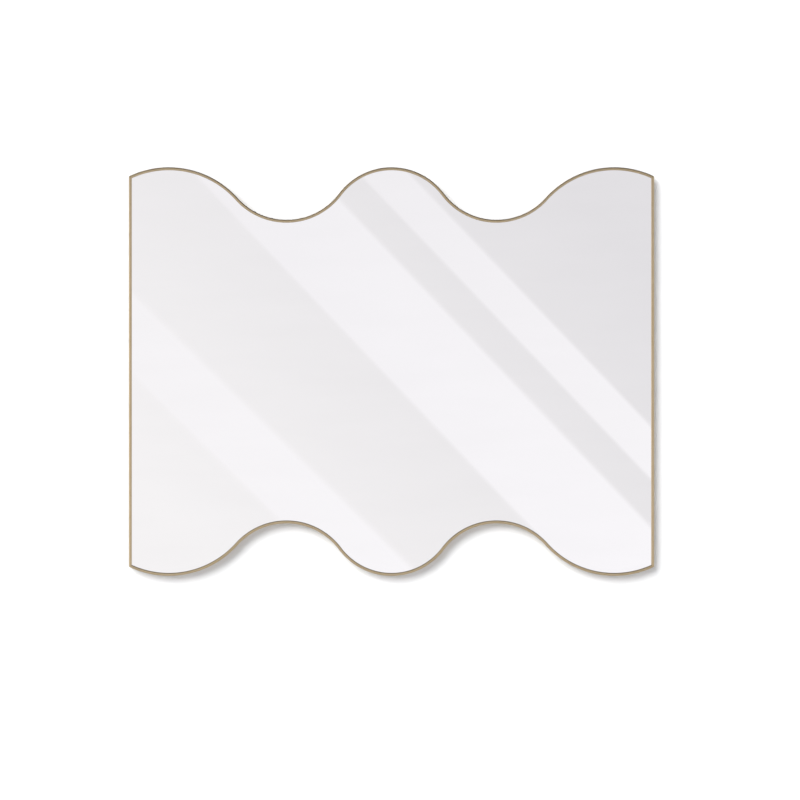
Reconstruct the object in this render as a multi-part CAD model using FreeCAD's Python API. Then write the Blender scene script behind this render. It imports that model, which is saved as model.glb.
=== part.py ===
import FreeCAD, Part
import math
import os

# A wall-hung vanity mirror with scalloped top and bottom edges, in a thin sectional aluminium frame.
# It hangs on a two-part Z rail: one bar is screwed to the wall, the other spans the back of the frame.
# Millimetres. X runs to the right and Z up as the mirror hangs, and -Y points into the room.
# The wall is the plane Y = 0, and the origin is midway between the wall rail's screw holes.

# Outline, as the frame's outer edge: straight sides, and arcs that run into each other at top and bottom.
# The outer crests lie crest_inset in from the sides. The outer half waves, from crest to valley, are
# outer_stretch longer than the inner ones.
mirror_width = 914.4
mirror_height = 711.2
wave_depth = 91.4
valley_radius = 114.3
crest_inset = 69.5
outer_stretch = 22.0

# Frame extrusion: a front lip, a groove for the pane, and a slotted channel behind it
lip_width = 5.0
lip_thickness = 1.5
side_wall = 1.5
channel_width = 10.6
channel_height = 4.4
channel_wall = 1.4
slot_width = 5.6
lip_chamfer = 0.4

# Pane, its backing and what holds them in the groove
gasket_thickness = 0.5
gasket_setback = 0.3
glass_thickness = 4.0
film_thickness = 0.2
film_setback = 1.0
board_thickness = 3.0
edge_gap = 0.8
setting_block_length = 40.0
spring_height = 2.0
spring_thickness = 0.5
spring_length = 36.0
spring_tail = 3.0
springs_per_side = 3

# Corner keys: a tapped angle plate, a plain one under it, and set screws that jam them apart
key_leg = 26.0
key_thickness = 2.0
shim_thickness = 1.0
key_screw_radius = 2.0
key_screw_socket = 2.0
key_screw_socket_depth = 1.6
key_screw_spacing = 11.0
key_screw_end = 6.0

# Z rails, on the wall and on the frame
rail_thickness = 2.0
rail_clearance = 0.2
rail_hook = 12.0
rail_hook_end_gap = 1.0
rail_round = 0.4
wall_rail_end = 50.8
wall_rail_below = 12.0
wall_rail_above = 12.0
wall_hole_radius = 2.5
outer_hole_spacing = 406.4
inner_hole_spacing = 152.4
hanger_flange = 30.0
hanger_end_inset = 2.5
hanger_below_valley = 20.0

# Channel nuts and screws that hold the hanger bar to the frame
nut_end = 6.0
nut_thickness = 2.4
bar_screw_radius = 2.0
bar_screw_edge = 6.0
bar_screw_head_radius = 3.8
bar_screw_head = 2.0
bar_screw_socket = 2.5
bar_screw_socket_depth = 1.2
bar_hole_clearance = 0.2

# Push-in bumpers that keep the foot of the mirror off the wall
bumper_radius = 6.0
bumper_face_radius = 3.6
bumper_barb_radius = 3.9
bumper_barb_tip_radius = 2.2
bumper_above_corner = 52.0

# Clearances
fit_gap = 0.1
slide_gap = 0.2
thread_gap = 0.05

# Depths in the frame, counted back from the front of the lip
gasket_front = lip_thickness
glass_front = gasket_front + gasket_thickness
film_front = glass_front + glass_thickness
board_front = film_front + film_thickness
spring_front = board_front + board_thickness
web_front = spring_front + spring_height
channel_front = web_front + channel_wall
hook_front = channel_front + channel_height
frame_depth = hook_front + channel_wall

# Insets from the outline, counted inwards
pane_inset = side_wall + edge_gap
channel_inner = side_wall + channel_width
frame_inner = channel_inner + channel_wall
channel_middle = side_wall + channel_width / 2
hook_width = (channel_width - slot_width) / 2

# Heights and depths of the two Z rails
rail_pocket = rail_thickness + 2 * rail_clearance
stand_off = rail_pocket + rail_thickness + rail_clearance
rail_seat = wall_rail_above + rail_hook
hanger_top = rail_seat + hanger_flange
wall_rail_length = outer_hole_spacing + 2 * wall_rail_end

# Place of the mirror: its front, and its centre, which hangs so that the valleys hide the hanger bar
half_width = mirror_width / 2
half_height = mirror_height / 2
frame_front = -(stand_off + frame_depth)
centre_z = hanger_top - (half_height - wave_depth - hanger_below_valley)

# The wave: half waves from crest to valley, and lobe radii that make their arcs tangent to the valleys
outer_x = half_width - crest_inset
valley_x = (outer_x - outer_stretch) / 2


def lobe_radius(half_wave):
    """Radius of the lobe that runs into a valley a half wave away along X and wave_depth below its crest."""
    return (half_wave**2 + wave_depth**2) / (2 * wave_depth) - valley_radius


middle_lobe_radius = lobe_radius(valley_x)
outer_lobe_radius = lobe_radius(outer_x - valley_x)

# Arc centres of the right half of the top edge, counted from the mirror's centre
middle_centre = (0.0, half_height - middle_lobe_radius)
valley_centre = (valley_x, half_height - wave_depth + valley_radius)
outer_centre = (outer_x, half_height - outer_lobe_radius)
corner_lean = math.asin((half_width - outer_x) / outer_lobe_radius)

LEFT_RIGHT = FreeCAD.Vector(1, 0, 0)
UP_DOWN = FreeCAD.Vector(0, 0, 1)
INTO_WALL = FreeCAD.Vector(0, 1, 0)
CENTRE = FreeCAD.Vector(0, 0, centre_z)
BEYOND = 2 * (mirror_width + mirror_height)
CORNERS = {
    "top_right": (),
    "top_left": (LEFT_RIGHT,),
    "bottom_right": (UP_DOWN,),
    "bottom_left": (LEFT_RIGHT, UP_DOWN),
}


def place(x, z, back=0.0):
    """A point from its place on the mirror's face and its depth behind the front of the lip."""
    return FreeCAD.Vector(x, frame_front + back, z + centre_z)


def between(a, b, share):
    """The point a share of the way from a to b."""
    return (a[0] + (b[0] - a[0]) * share, a[1] + (b[1] - a[1]) * share)


def arc(centre, a, b):
    """The arc from a to b, less than half a turn, about a centre."""
    start = math.atan2(a[1] - centre[1], a[0] - centre[0])
    end = math.atan2(b[1] - centre[1], b[0] - centre[0])
    radius = math.hypot(a[0] - centre[0], a[1] - centre[1])
    middle = (start + end) / 2
    crown = (centre[0] + radius * math.cos(middle), centre[1] + radius * math.sin(middle))
    return Part.Arc(place(*a), place(*crown), place(*b)).toShape()


def corner(inset, overrun=0.0):
    """Where the top edge meets the right side, at an inset from the outline, or from a wider one."""
    x = half_width + overrun - inset
    rise = math.sqrt((outer_lobe_radius - inset) ** 2 - (x - outer_x) ** 2)
    return (x, outer_centre[1] + rise)


def wave(inset, side, overrun):
    """The edges of the top (side 1) or bottom (side -1) from left to right."""
    into_valley = (middle_lobe_radius - inset) / (middle_lobe_radius + valley_radius)
    out_of_valley = (outer_lobe_radius - inset) / (outer_lobe_radius + valley_radius)
    right = [
        between(middle_centre, valley_centre, into_valley),
        between(outer_centre, valley_centre, out_of_valley),
        corner(inset, overrun),
    ]
    points = [(-x, z) for x, z in reversed(right)] + right
    centres = [(-x, z) for x, z in (outer_centre, valley_centre)]
    centres += [middle_centre, valley_centre, outer_centre]
    points = [(x, side * z) for x, z in points]
    centres = [(x, side * z) for x, z in centres]
    return [arc(c, a, b) for c, a, b in zip(centres, points, points[1:])]


def outline(inset, overrun=0.0):
    """The closed outline of the mirror at an inset from the frame's outer edge."""
    x, z = corner(inset, overrun)
    sides = [Part.makeLine(place(s * x, z), place(s * x, -z)) for s in (1, -1)]
    edges = wave(inset, 1, overrun) + wave(inset, -1, overrun) + sides
    return Part.Wire(Part.__sortEdges__(edges))


def slab(inset, front, back, overrun=0.0):
    """A solid of the mirror's outline between two depths."""
    solid = Part.Face(outline(inset, overrun)).extrude(INTO_WALL * (back - front))
    solid.translate(INTO_WALL * front)
    return solid


def ring(outer, inner, front, back, overrun=0.0):
    """A band that follows the outline, between two insets and two depths."""
    return slab(outer, front, back, overrun).cut(slab(inner, front, back, overrun))


def prism(points):
    """A solid through the whole depth, over a polygon on the mirror's face."""
    corners = [place(x, z, -BEYOND) for x, z in points]
    return Part.Face(Part.makePolygon(corners + corners[:1])).extrude(INTO_WALL * 2 * BEYOND)


def cylinder(radius, x, z, front, back):
    """A round bar square to the mirror's face, between two depths."""
    return Part.makeCylinder(radius, back - front, place(x, z, front), INTO_WALL)


def hexagon(across_flats, x, z, front, back):
    """A hexagonal bar square to the mirror's face, between two depths."""
    radius = across_flats / math.sqrt(3)
    turns = [math.radians(60 * i) for i in range(6)]
    points = [place(x + radius * math.cos(t), z + radius * math.sin(t), front) for t in turns]
    return Part.Face(Part.makePolygon(points + points[:1])).extrude(INTO_WALL * (back - front))


def flipped(shape, flips):
    """A copy of a top right piece, mirrored to another corner or side."""
    for normal in flips:
        shape = shape.mirror(CENTRE, normal)
    return shape


def save(name, *shapes):
    """Writes one node, and prints its count of solids and its volume."""
    solids = [solid for shape in shapes for solid in shape.Solids]
    node = solids[0] if len(solids) == 1 else Part.makeCompound(solids)
    assert all(solid.isValid() for solid in solids), name
    node.exportStep(f"parts/{name}.step")
    print(f"{name}: {len(solids)} solid, {sum(s.Volume for s in solids) / 1000:.2f} cm3")


def frame_loop(overrun):
    """The frame's section all round: a block, less its groove, openings and slotted channel."""
    frame = slab(0, 0, frame_depth, overrun)
    frame = frame.cut(slab(lip_width, 0, lip_thickness, overrun))
    frame = frame.cut(slab(side_wall, lip_thickness, web_front, overrun))
    frame = frame.cut(slab(frame_inner, web_front, frame_depth, overrun))
    frame = frame.cut(ring(side_wall, channel_inner, channel_front, hook_front, overrun))
    hooks = (side_wall + hook_width, channel_inner - hook_width)
    frame = frame.cut(ring(*hooks, hook_front, frame_depth, overrun))
    front_edges = [e for e in frame.Edges if e.BoundBox.YMax < frame_front + fit_gap]
    return frame.makeChamfer(min(lip_chamfer, lip_thickness / 3), front_edges)


def over_top_mitres():
    """The space above the two mitres of the top corners, which halve the angle between rail and stile."""
    outer = corner(0)
    bisector = (-math.cos(corner_lean), math.sin(corner_lean) - 1)
    along = 4 * frame_inner / math.hypot(*bisector)
    outside = (outer[0] - bisector[0] * along, outer[1] - bisector[1] * along)
    inside = (outer[0] + bisector[0] * along, outer[1] + bisector[1] * along)
    right = [(BEYOND, BEYOND), (BEYOND, outside[1]), outside, inside]
    return prism(right + [(0.0, 0.0)] + [(-x, z) for x, z in reversed(right)])


def top_rail():
    """The top rail, bent to the wave a little past its corners and sawn at both mitres."""
    return frame_loop(lip_width).common(over_top_mitres())


def right_stile():
    """The right stile, a straight length of the same section, sawn at both mitres."""
    sections = frame_loop(0).slice(UP_DOWN, centre_z)
    section = Part.Face(max(sections, key=lambda wire: wire.BoundBox.XMax))
    section.translate(UP_DOWN * -half_height)
    top = over_top_mitres()
    return section.extrude(UP_DOWN * mirror_height).cut(top).cut(flipped(top, (UP_DOWN,)))


def setting_block():
    """The right of two pads that the pane stands on, in the lowest stretch of the bottom groove."""
    band = ring(side_wall + fit_gap, pane_inset - fit_gap, glass_front, spring_front)
    low, high = outer_x - setting_block_length / 2, outer_x + setting_block_length / 2
    return band.common(prism([(low, 0), (high, 0), (high, -BEYOND), (low, -BEYOND)]))


def spring_clip(x, z, inward):
    """A bowed strip between the board and the frame, tucked in at a point of the outline."""
    along = (inward[1], -inward[0])
    half = spring_length / 2
    tightest = min(middle_lobe_radius, outer_lobe_radius) - side_wall
    start = pane_inset + tightest - math.sqrt(tightest**2 - half**2)
    low = spring_front + fit_gap
    bow = spring_height - spring_thickness - 2 * fit_gap
    radius = (half**2 + bow**2) / (2 * bow)
    spread = (radius + spring_thickness) / radius
    foot_lift = (spread - 1) * (radius - bow)

    def point(run, back):
        return place(x + inward[0] * start + along[0] * run, z + inward[1] * start + along[1] * run, back)

    near = [point(-half, low), point(0, low + bow), point(half, low)]
    far = [
        point(half * spread, low + foot_lift),
        point(0, low + bow + spring_thickness),
        point(-half * spread, low + foot_lift),
    ]
    edges = [
        Part.Arc(*near).toShape(),
        Part.makeLine(near[2], far[0]),
        Part.Arc(*far).toShape(),
        Part.makeLine(far[2], near[0]),
    ]
    width = frame_inner + spring_tail - start
    return Part.Face(Part.Wire(edges)).extrude(FreeCAD.Vector(inward[0], 0, inward[1]) * width)


def spring_clips():
    """Clips at every crest and valley of the two waves, and evenly along the two sides."""
    crests = [(x, half_height) for x in (-outer_x, 0.0, outer_x)]
    valleys = [(x, half_height - wave_depth) for x in (-valley_x, valley_x)]
    clips = [spring_clip(x, s * z, (0, -s)) for s in (1, -1) for x, z in crests + valleys]
    pitch = 2 * corner(0)[1] / (springs_per_side + 1)
    heights = [pitch * (i - (springs_per_side - 1) / 2) for i in range(springs_per_side)]
    clips += [spring_clip(s * half_width, z, (-s, 0)) for s in (1, -1) for z in heights]
    return clips


def along_channel(distance):
    """Two points in the middle of the channel, a distance down the right stile and along the top rail."""
    x, z = corner(channel_middle)
    radius = outer_lobe_radius - channel_middle
    turn = math.asin((x - outer_x) / radius) - distance / radius
    on_rail = (outer_x + radius * math.sin(turn), outer_centre[1] + radius * math.cos(turn))
    return (x, z - distance), on_rail


def key_plate(front, back):
    """An angle plate for the top right corner, as wide as the channel allows, between two depths."""
    band = ring(side_wall + slide_gap, channel_inner - slide_gap, front, back)
    on_stile, on_rail = along_channel(key_leg)
    foot = on_stile[1]
    slope = (on_rail[0] - outer_x) / (on_rail[1] - outer_centre[1])
    inner_end = (outer_x + slope * (foot - outer_centre[1]), foot)
    outer_end = (outer_x + slope * BEYOND, outer_centre[1] + BEYOND)
    return band.common(prism([inner_end, outer_end, (BEYOND, outer_end[1]), (BEYOND, foot)]))


def key_screw_places():
    """Places of the four set screws of the top right corner, counted in from the ends of the legs."""
    last = key_leg - key_screw_end
    return [point for distance in (last - key_screw_spacing, last) for point in along_channel(distance)]


def corner_key():
    """The tapped angle plate, pressed against the hooks of the channel."""
    plate = key_plate(hook_front - key_thickness, hook_front)
    for x, z in key_screw_places():
        plate = plate.cut(cylinder(key_screw_radius, x, z, channel_front, frame_depth))
    return plate


def corner_shim():
    """The plain angle plate, pressed against the floor of the channel."""
    return key_plate(channel_front, channel_front + shim_thickness)


def set_screw(x, z):
    """A socket set screw, from the shim to the back of the slot."""
    body = cylinder(key_screw_radius - thread_gap, x, z, channel_front + shim_thickness, frame_depth)
    socket = hexagon(key_screw_socket, x, z, frame_depth - key_screw_socket_depth, frame_depth)
    return body.cut(socket)


def z_rail(length, points):
    """A Z bar along X with softened edges, over a section of (distance from the wall, height) points."""
    corners = [FreeCAD.Vector(-length / 2, -off, up) for off, up in points]
    bar = Part.Face(Part.makePolygon(corners + corners[:1])).extrude(LEFT_RIGHT * length)
    long_edges = [e for e in bar.Edges if e.BoundBox.XLength > length / 2]
    return bar.makeFillet(min(rail_round, rail_thickness / 3), long_edges)


def wall_rail():
    """The bar on the wall, with its hook upwards and four screw holes."""
    hook_front_face = rail_pocket + rail_thickness
    web_bottom = wall_rail_above - rail_thickness
    section = [
        (0, -wall_rail_below),
        (0, wall_rail_above),
        (rail_pocket, wall_rail_above),
        (rail_pocket, rail_seat),
        (hook_front_face, rail_seat),
        (hook_front_face, web_bottom),
        (rail_thickness, web_bottom),
        (rail_thickness, -wall_rail_below),
    ]
    rail = z_rail(wall_rail_length, section)
    for spacing in (outer_hole_spacing, inner_hole_spacing):
        for x in (-spacing / 2, spacing / 2):
            base = FreeCAD.Vector(x, -2 * rail_thickness, 0)
            rail = rail.cut(Part.makeCylinder(wall_hole_radius, 3 * rail_thickness, base, INTO_WALL))
    return rail


def bar_screw_places():
    """Places of the hanger bar's screws on the mirror's face, the right end first."""
    x = half_width - channel_middle
    heights = (rail_seat + rail_thickness + bar_screw_edge, hanger_top - bar_screw_edge)
    return [[(side * x, z - centre_z) for z in heights] for side in (1, -1)]


def hanger_bar():
    """The bar across the back of the frame, with its hook down in the wall rail's pocket."""
    tip = wall_rail_above + rail_hook_end_gap
    web_top = rail_seat + rail_thickness
    hook_front_face = rail_clearance + rail_thickness
    section = [
        (stand_off, rail_seat),
        (stand_off, hanger_top),
        (stand_off - rail_thickness, hanger_top),
        (stand_off - rail_thickness, web_top),
        (rail_clearance, web_top),
        (rail_clearance, tip),
        (hook_front_face, tip),
        (hook_front_face, rail_seat),
    ]
    bar = z_rail(mirror_width - 2 * hanger_end_inset, section)
    for end in bar_screw_places():
        for x, z in end:
            radius = bar_screw_radius + bar_hole_clearance
            bar = bar.cut(cylinder(radius, x, z, hook_front, frame_depth + rail_thickness))
    return bar


def channel_nut(places):
    """A tapped strip that slides in a stile's channel, under the hooks."""
    (x, low), (x, high) = places
    wide = channel_width - 2 * slide_gap
    tall = high - low + 2 * nut_end
    base = place(x - wide / 2, low - nut_end, hook_front - nut_thickness)
    nut = Part.makeBox(wide, nut_thickness, tall, base)
    for x, z in places:
        nut = nut.cut(cylinder(bar_screw_radius, x, z, channel_front, frame_depth))
    return nut


def bar_screw(x, z):
    """A low-head screw through the hanger bar into its channel nut."""
    head_front = frame_depth + rail_thickness
    head_back = head_front + bar_screw_head
    shank = cylinder(bar_screw_radius - thread_gap, x, z, hook_front - nut_thickness, head_front)
    head = cylinder(bar_screw_head_radius, x, z, head_front, head_back)
    rim = [e for e in head.Edges if e.BoundBox.YMin > frame_front + head_back - fit_gap]
    head = head.makeFillet(bar_screw_head / 3, rim)
    socket = hexagon(bar_screw_socket, x, z, head_back - bar_screw_socket_depth, head_back)
    return shank.fuse(head).cut(socket).removeSplitter()


def bumper(side):
    """A rubber button with a barbed stem, pushed into the slot of a stile."""
    x, z = side * (half_width - channel_middle), bumper_above_corner - corner(0)[1]
    neck = slot_width / 2 - slide_gap
    rim = stand_off / 3
    barb_end = channel_front + fit_gap
    section = [
        (0, barb_end),
        (bumper_barb_tip_radius, barb_end),
        (bumper_barb_radius, hook_front),
        (neck, hook_front),
        (neck, frame_depth),
        (bumper_radius, frame_depth),
        (bumper_radius, frame_depth + rim),
        (bumper_face_radius, frame_depth + stand_off),
        (0, frame_depth + stand_off),
    ]
    corners = [place(x + off, z, back) for off, back in section]
    profile = Part.Face(Part.makePolygon(corners + corners[:1]))
    return profile.revolve(place(x, z), INTO_WALL, 360)


def main():
    os.makedirs("parts", exist_ok=True)
    rail = top_rail()
    stile = right_stile()
    save("frame_top_rail", rail)
    save("frame_bottom_rail", flipped(rail, (UP_DOWN,)))
    save("frame_right_stile", stile)
    save("frame_left_stile", flipped(stile, (LEFT_RIGHT,)))

    save("lip_gasket", ring(side_wall + fit_gap, lip_width - gasket_setback, gasket_front, glass_front))
    save("mirror_glass", slab(pane_inset, glass_front, film_front))
    save("safety_film", slab(pane_inset + film_setback, film_front, board_front))
    save("back_board", slab(pane_inset, board_front, spring_front))
    save("setting_block_right", setting_block())
    save("setting_block_left", flipped(setting_block(), (LEFT_RIGHT,)))
    save("spring_clips", *spring_clips())

    for name, flips in CORNERS.items():
        save(f"corner_key_{name}", flipped(corner_key(), flips))
        save(f"corner_shim_{name}", flipped(corner_shim(), flips))
    screws = [set_screw(x, z) for x, z in key_screw_places()]
    save("corner_set_screws", *[flipped(s, flips) for flips in CORNERS.values() for s in screws])

    right_end, left_end = bar_screw_places()
    save("wall_rail", wall_rail())
    save("hanger_bar", hanger_bar())
    save("channel_nut_right", channel_nut(right_end))
    save("channel_nut_left", channel_nut(left_end))
    save("hanger_bar_screws", *[bar_screw(x, z) for x, z in right_end + left_end])
    save("wall_bumper_right", bumper(1))
    save("wall_bumper_left", bumper(-1))


main()
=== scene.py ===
# %% [markdown]
# A wall-hung vanity mirror with a wavy top and bottom edge, in a thin gold frame.
# The imported model comes in as a fixed frame: its nodes are the real pieces, at their real size, on the
# bodies that move them. Nothing here moves a node. A node either gets a better finish, or a fuller piece
# stands in for it. The box of the imported model is printed here, and the dressed one's box at the end.

# %% Load the imported mirror
import math

import bmesh
import bpy
from bmesh.types import BMEdge, BMVert
from mathutils import Matrix, Vector


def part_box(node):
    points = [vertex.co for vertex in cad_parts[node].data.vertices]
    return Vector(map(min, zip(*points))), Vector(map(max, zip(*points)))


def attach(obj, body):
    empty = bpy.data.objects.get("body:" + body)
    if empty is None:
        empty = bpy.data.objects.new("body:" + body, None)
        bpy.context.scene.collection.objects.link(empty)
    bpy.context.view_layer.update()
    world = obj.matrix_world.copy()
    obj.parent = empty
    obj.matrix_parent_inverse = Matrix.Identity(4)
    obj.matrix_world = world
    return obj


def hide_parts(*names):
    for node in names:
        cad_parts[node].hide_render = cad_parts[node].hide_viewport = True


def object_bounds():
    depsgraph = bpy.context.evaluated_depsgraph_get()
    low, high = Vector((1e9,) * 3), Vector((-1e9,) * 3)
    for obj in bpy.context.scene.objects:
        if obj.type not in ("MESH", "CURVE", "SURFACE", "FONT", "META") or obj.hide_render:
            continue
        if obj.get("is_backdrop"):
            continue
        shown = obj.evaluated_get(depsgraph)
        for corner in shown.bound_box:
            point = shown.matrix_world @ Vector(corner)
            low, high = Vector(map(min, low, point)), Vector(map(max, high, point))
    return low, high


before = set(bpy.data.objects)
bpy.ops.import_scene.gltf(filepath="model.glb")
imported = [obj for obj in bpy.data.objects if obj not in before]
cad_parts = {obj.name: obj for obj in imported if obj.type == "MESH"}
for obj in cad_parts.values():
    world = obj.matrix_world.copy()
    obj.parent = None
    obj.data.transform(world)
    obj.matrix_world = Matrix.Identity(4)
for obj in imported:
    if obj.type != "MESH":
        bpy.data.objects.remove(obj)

scene = bpy.context.scene
cad_low, cad_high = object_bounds()
print("packed nodes:", len(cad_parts), "box:", tuple(cad_low), tuple(cad_high))

# %% [markdown]
# Blender works in metres, and a frame maker thinks in millimetres, so sizes below are written times MM.
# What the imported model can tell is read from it: the outer size, the depths of the front and the back of
# the frame, and the planes of the glass. Only the wave, the frame's section and the shapes of the small
# pieces are written out again.

# %% Sizes of the mirror
MM = 0.001
WAVE_DEPTH = 91.4 * MM
VALLEY_RADIUS = 114.3 * MM
CREST_INSET = 69.5 * MM
OUTER_STRETCH = 22.0 * MM

half_width = cad_high.x
half_height = (cad_high.z - cad_low.z) / 2
centre_z = (cad_high.z + cad_low.z) / 2
crest_z = cad_high.z
frame_front = cad_low.y
frame_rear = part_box("frame_top_rail")[1].y
glass_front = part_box("mirror_glass")[0].y
glass_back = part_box("mirror_glass")[1].y
print(f"mirror {2 * half_width / MM:.1f} by {2 * half_height / MM:.1f} mm")

# %% [markdown]
# The picture was taken square on, from a few metres away, so the camera looks straight along +Y with a long
# lens. The mirror sits a little left of the middle and above it, so the camera stands to the right of the
# mirror's centre and below it instead of turning. The lens is worked out from how wide a stretch of wall
# the square picture takes in.

# %% Camera
PHOTO_SIZE = 800
PHOTO_CENTRE = (391.5, 371.55)
PHOTO_WIDTH = 525.5
CAMERA_DISTANCE = 4.0
SENSOR = 36.0

metres_per_pixel = 2 * half_width / PHOTO_WIDTH
camera_x = (PHOTO_SIZE / 2 - PHOTO_CENTRE[0]) * metres_per_pixel
camera_z = centre_z - (PHOTO_SIZE / 2 - PHOTO_CENTRE[1]) * metres_per_pixel
lens = bpy.data.cameras.new("photo_lens")
lens.sensor_width = SENSOR
lens.lens = SENSOR * CAMERA_DISTANCE / (PHOTO_SIZE * metres_per_pixel)
camera = bpy.data.objects.new("photo_camera", lens)
camera.location = (camera_x, frame_front - CAMERA_DISTANCE, camera_z)
camera.rotation_euler = (math.radians(90), 0, 0)
scene.collection.objects.link(camera)
scene.camera = camera
print(f"lens {lens.lens:.1f} mm at {CAMERA_DISTANCE} m")

# %% [markdown]
# Colours are written as sRGB hex values, as a picture editor shows them, and one function turns them to the
# linear numbers that shaders want. One more small function adds a node with its settings and its links, so
# that each material below reads as a short list. A node that is handed on stands for its first output that
# is in use. The other functions start and end a material, and give it to a piece.

# %% Helpers for materials


def linear(hex_colour):
    """The linear RGBA of an sRGB hex colour."""
    channels = [int(hex_colour[i : i + 2], 16) / 255 for i in (1, 3, 5)]
    return [c / 12.92 if c <= 0.04045 else ((c + 0.055) / 1.055) ** 2.4 for c in channels] + [1.0]


def add(tree, kind, inputs=None, **settings):
    """Adds a node. Settings are its properties, and inputs are values, or the sockets or nodes to link."""
    node = tree.nodes.new(kind)
    for name, value in settings.items():
        setattr(node, name, value)
    for name, value in (inputs or {}).items():
        if isinstance(value, bpy.types.Node):
            value = next(socket for socket in value.outputs if socket.enabled)
        if isinstance(value, bpy.types.NodeSocket):
            tree.links.new(value, node.inputs[name])
        else:
            node.inputs[name].default_value = value
    return node


def start_material(name):
    """A material and its node tree, which is still empty."""
    material = bpy.data.materials.new(name)
    material.use_nodes = True
    material.node_tree.nodes.clear()
    return material, material.node_tree


def end_material(material, shader):
    """Sends a shader to the output of a material."""
    add(material.node_tree, "ShaderNodeOutputMaterial", {"Surface": shader})
    print(f"{material.name}: {len(material.node_tree.nodes)} nodes")


def finish_nodes(material, *names):
    """Gives CAD nodes their finish."""
    for name in names:
        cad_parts[name].material_slots[0].material = material


def finish_piece(name, bm, material, body, node):
    """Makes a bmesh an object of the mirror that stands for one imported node."""
    mesh = bpy.data.meshes.new(name)
    bm.to_mesh(mesh)
    bm.free()
    mesh.materials.append(material)
    piece = bpy.data.objects.new(name, mesh)
    scene.collection.objects.link(piece)
    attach(piece, body)
    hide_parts(node)
    print(f"{name}: {len(mesh.polygons)} faces")


print("helpers are ready")

# %% [markdown]
# The frame is one aluminium extrusion, brushed along its length and anodised to a pale champagne gold.
# Brushing leaves fine scratches that run with the bar, so a highlight is drawn out across it, and the
# colour is a tint in the clear oxide and not a paint. The scratches have to follow the bends, so the pattern
# reads a UV map that is laid along the bar: U is the way along it and V the way round its section, both in
# metres. An anisotropic shader could draw the highlight out too, but scratches also show close to. The real
# ones are about 0.05 mm wide. They are drawn 0.4 mm wide here, so that they show. A noise mostly stays near
# the middle of its range, so that middle is spread out first.

# %% Brushed gold anodised aluminium
SCRATCH_LENGTH = 30 * MM
SCRATCH_WIDTH = 0.4 * MM
CLOUD_LENGTH = 120 * MM
NOISE_MIDDLE = {"From Min": 0.3, "From Max": 0.7}

brushed_gold, tree = start_material("anodised_aluminium_brushed_gold")
grain = add(tree, "ShaderNodeUVMap", uv_map="along_the_bar")
scratch_place = add(
    tree, "ShaderNodeMapping", {"Vector": grain, "Scale": (1 / SCRATCH_LENGTH, 1 / SCRATCH_WIDTH, 1)}
)
scratches = add(tree, "ShaderNodeTexNoise", {"Vector": scratch_place, "Scale": 1.0, "Detail": 3.0})
streaks = add(tree, "ShaderNodeMapRange", {"Value": scratches, **NOISE_MIDDLE})
clouds = add(tree, "ShaderNodeTexNoise", {"Vector": grain, "Scale": 1 / CLOUD_LENGTH, "Detail": 2.0})
tint = add(
    tree, "ShaderNodeMix", {"Factor": streaks, 6: linear("#BEA885"), 7: linear("#DCCBAE")}, data_type="RGBA"
)
deeper = add(tree, "ShaderNodeMix", {"Factor": clouds, 6: tint, 7: linear("#C1AB86")}, data_type="RGBA")
satin = add(tree, "ShaderNodeMapRange", {"Value": streaks, "To Min": 0.24, "To Max": 0.38})
relief = add(tree, "ShaderNodeBump", {"Height": streaks, "Strength": 0.25, "Distance": 0.02 * MM})
metal = add(
    tree,
    "ShaderNodeBsdfPrincipled",
    {
        "Base Color": deeper,
        "Metallic": 1.0,
        "Roughness": satin,
        "Normal": relief,
    },
)
end_material(brushed_gold, metal)

# %% [markdown]
# The frame's section has a front lip that holds the glass, a groove for the pane, and a slotted channel
# behind it for keys and nuts. It is drawn as one flat face, with the inset from the mirror's outer edge
# counted down from the crest and the depth counted back from the lip. A bevel of single vertices rounds
# the edges that a hand can reach: the die leaves them soft, and they catch the light as a fine line.

# %% Section of the frame
LIP_WIDTH = 5.0 * MM
LIP_THICKNESS = 1.5 * MM
SIDE_WALL = 1.5 * MM
CHANNEL_WIDTH = 10.6 * MM
CHANNEL_HEIGHT = 4.4 * MM
CHANNEL_WALL = 1.4 * MM
SLOT_WIDTH = 5.6 * MM
LIP_ROUND = 1.3 * MM
BACK_ROUND = 0.5 * MM
SLOT_ROUND = 0.3 * MM
ROUND_STEPS = 5

section_depth = frame_rear - frame_front
hook_front = section_depth - CHANNEL_WALL
channel_floor = hook_front - CHANNEL_HEIGHT
web_front = channel_floor - CHANNEL_WALL
channel_inner = SIDE_WALL + CHANNEL_WIDTH
section_inner = channel_inner + CHANNEL_WALL
slot_outer = SIDE_WALL + (CHANNEL_WIDTH - SLOT_WIDTH) / 2
slot_inner = slot_outer + SLOT_WIDTH

# Inset, depth and rounding of each corner, from the channel's floor and round the outside
SECTION = [
    (SIDE_WALL, channel_floor, 0),
    (SIDE_WALL, hook_front, 0),
    (slot_outer, hook_front, 0),
    (slot_outer, section_depth, SLOT_ROUND),
    (0, section_depth, BACK_ROUND),
    (0, 0, LIP_ROUND),
    (LIP_WIDTH, 0, LIP_ROUND),
    (LIP_WIDTH, LIP_THICKNESS, 0),
    (SIDE_WALL, LIP_THICKNESS, 0),
    (SIDE_WALL, web_front, 0),
    (section_inner, web_front, SLOT_ROUND),
    (section_inner, section_depth, BACK_ROUND),
    (slot_inner, section_depth, SLOT_ROUND),
    (slot_inner, hook_front, 0),
    (channel_inner, hook_front, 0),
    (channel_inner, channel_floor, 0),
]


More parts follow.
